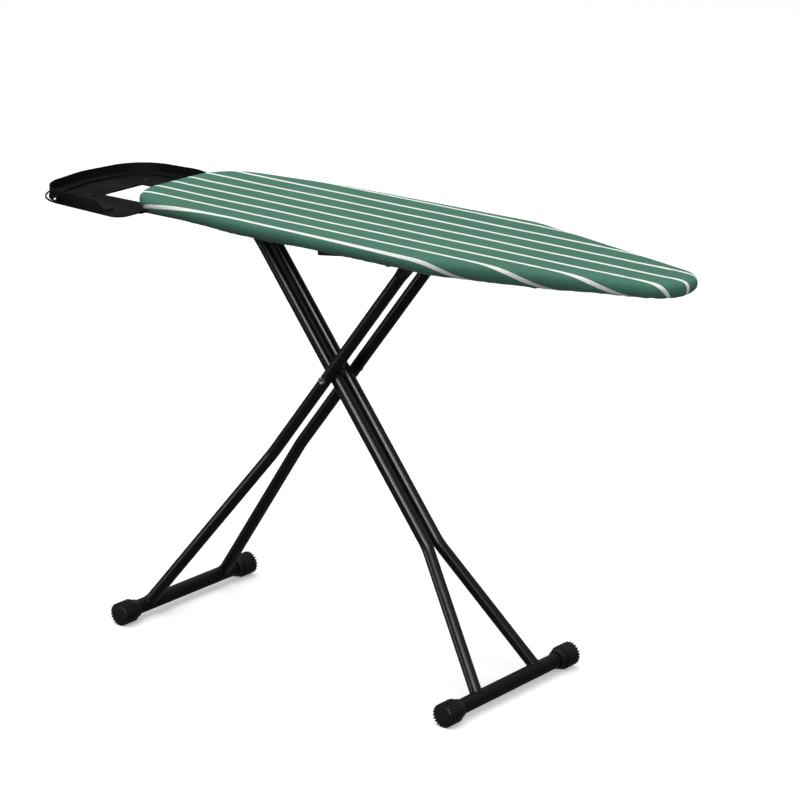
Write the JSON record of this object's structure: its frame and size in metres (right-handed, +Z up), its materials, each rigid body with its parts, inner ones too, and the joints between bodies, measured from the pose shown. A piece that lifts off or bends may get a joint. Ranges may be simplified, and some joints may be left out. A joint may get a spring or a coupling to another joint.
{
  "type": "ironing board",
  "caption": "Folding ironing board with a padded striped cotton cover, crossed tube legs, height lever and a sliding U-shaped iron rest.",
  "frame": {"origin": "on the floor, under the middle of the box that holds the whole board at rest", "axes": "+X runs along the board to its nose, with the iron rest at -X; +Y to the far side; +Z up"},
  "size_m": [1.486, 0.41, 0.8836],
  "materials": {
    "cover": "cotton twill, green with off-white pinstripes",
    "hem": "braided cotton draw cord",
    "felt": "needled felt",
    "mesh": "powder-coated expanded steel mesh",
    "frame_black": "satin black powder coat",
    "leg_black": "satin black powder coat on steel tube",
    "foot_black": "semi-gloss black lacquer on steel tube",
    "cap_plastic": "moulded black plastic, ribbed",
    "small_plastic": "moulded black plastic",
    "zinc": "bright zinc plate",
    "grip": "soft black plastic",
    "tray_black": "moulded black plastic, lightly grained"
  },
  "bodies": {
    "board": {"fabric_cover": "cover", "hem_cord": "hem", "felt_pad": "felt", "top_panel": "mesh", "board_rim": "frame_black", "rear_brace": "frame_black", "guide_brace": "frame_black", "mid_brace": "frame_black", "front_brace": "frame_black", "track_near": "frame_black", "track_far": "frame_black", "hinge_bracket_near": "frame_black", "hinge_bracket_far": "frame_black", "rail_guides": "small_plastic", "frame_rivets": "zinc"},
    "inner_legs": {"inner_leg_near": "leg_black", "inner_leg_far": "leg_black", "inner_foot_bar": "foot_black", "inner_cap_near": "cap_plastic", "inner_cap_far": "cap_plastic", "hinge_rod": "zinc", "hinge_rod_caps": "small_plastic", "hinge_spacers": "small_plastic", "pivot_bolt": "zinc", "pivot_nut": "zinc", "pivot_bushes": "small_plastic", "pivot_spacer": "small_plastic"},
    "outer_legs": {"outer_leg_near": "leg_black", "outer_leg_far": "leg_black", "outer_foot_bar": "foot_black", "outer_cap_near": "cap_plastic", "outer_cap_far": "cap_plastic", "slide_rod": "zinc", "slide_rollers": "small_plastic", "slide_rod_caps": "small_plastic"},
    "carriage": {"latch_carriage": "frame_black", "lever_pin": "zinc", "lever_spring": "zinc"},
    "lever": {"height_lever": "frame_black", "lever_grip": "grip"},
    "iron_rest": {"iron_tray": "tray_black", "tray_rail_near": "zinc", "tray_rail_far": "zinc", "rail_clamps": "small_plastic", "tray_rivets": "tray_black", "tray_stops": "tray_black"}
  },
  "joints": [
    {"name": "fold", "type": "hinge", "parent": "board", "child": "inner_legs", "pos_m": [-0.269, 0, 0.84256], "axis": [0, -1, 0], "range_deg": [-3.5, 49.5]},
    {"name": "leg_cross", "type": "hinge", "parent": "inner_legs", "child": "outer_legs", "pos_m": [-0.05265, 0, 0.5606], "axis": [0, -1, 0], "range_deg": [-99, 7]},
    {"name": "carriage_level", "type": "hinge", "parent": "outer_legs", "child": "carriage", "pos_m": [0.16371, 0, 0.84256], "axis": [0, -1, 0], "range_deg": [-3.5, 49.5]},
    {"name": "lever_release", "type": "hinge", "parent": "carriage", "child": "lever", "pos_m": [0.12371, -0.0745, 0.82236], "axis": [0, 0, 1], "range_deg": [0, 8], "stiffness_Nm_per_rad": 2, "springref_deg": -11.46},
    {"name": "tray_slide", "type": "slide", "parent": "board", "child": "iron_rest", "axis": [1, 0, 0], "range_m": [0, 0.14]}
  ],
  "couplings": [
    {"joint": "leg_cross", "follows": "fold", "ratio": -2},
    {"joint": "carriage_level", "follows": "fold", "ratio": 1}
  ]
}
